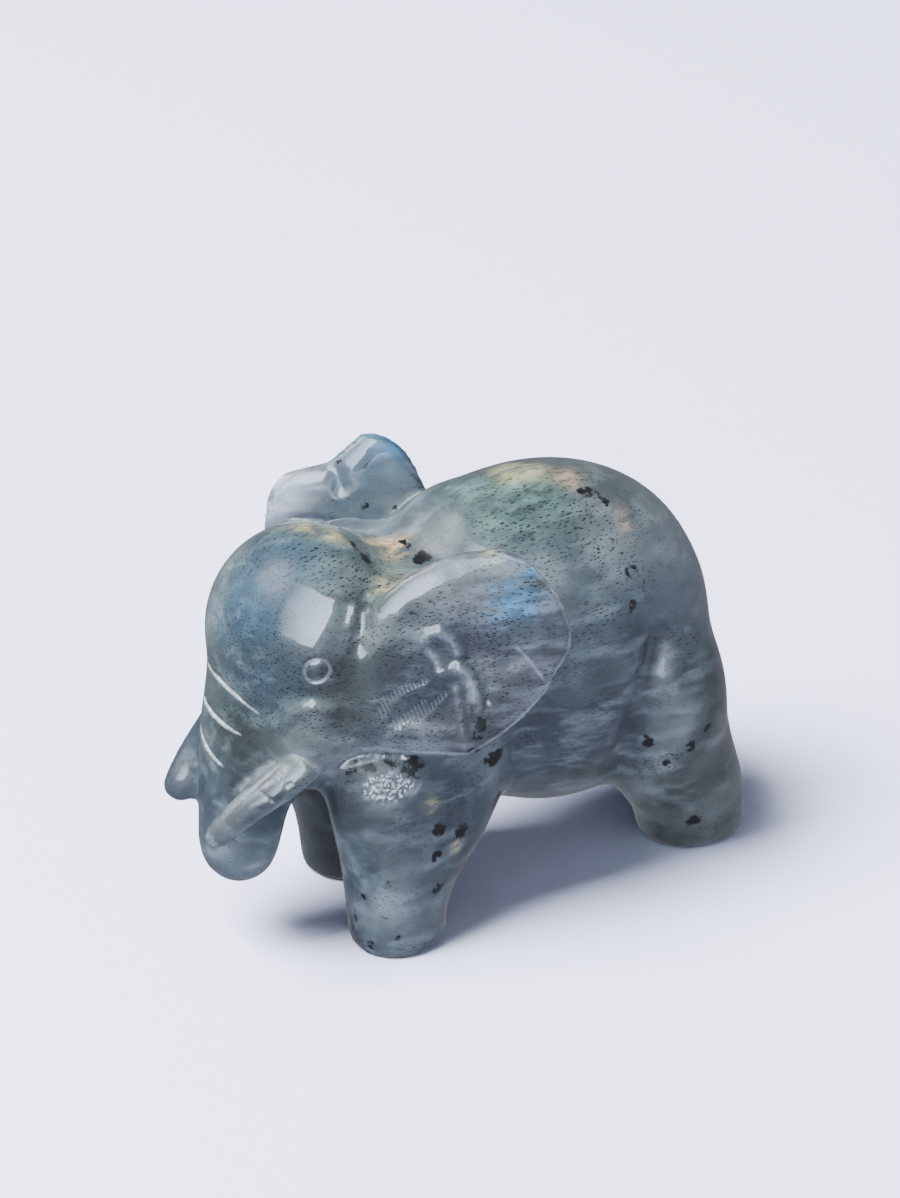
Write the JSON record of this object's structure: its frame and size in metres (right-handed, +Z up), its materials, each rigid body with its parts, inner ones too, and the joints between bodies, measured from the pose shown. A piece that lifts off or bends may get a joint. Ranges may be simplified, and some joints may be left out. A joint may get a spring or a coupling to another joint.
{
  "type": "stone elephant carving",
  "caption": "Small polished stone elephant in the round, standing on stump legs, with broad ears, a short curled trunk and short tusks.",
  "frame": {"origin": "on the floor, under the middle of the figure's box", "axes": "+Z up, the head faces -X, the left side faces -Y"},
  "size_m": [0.0406, 0.02, 0.0285],
  "materials": {
    "polished_stone": "polished, translucent grey-green feldspar with dark specks"
  },
  "bodies": {
    "root": {"elephant": "polished_stone"}
  },
  "joints": []
}
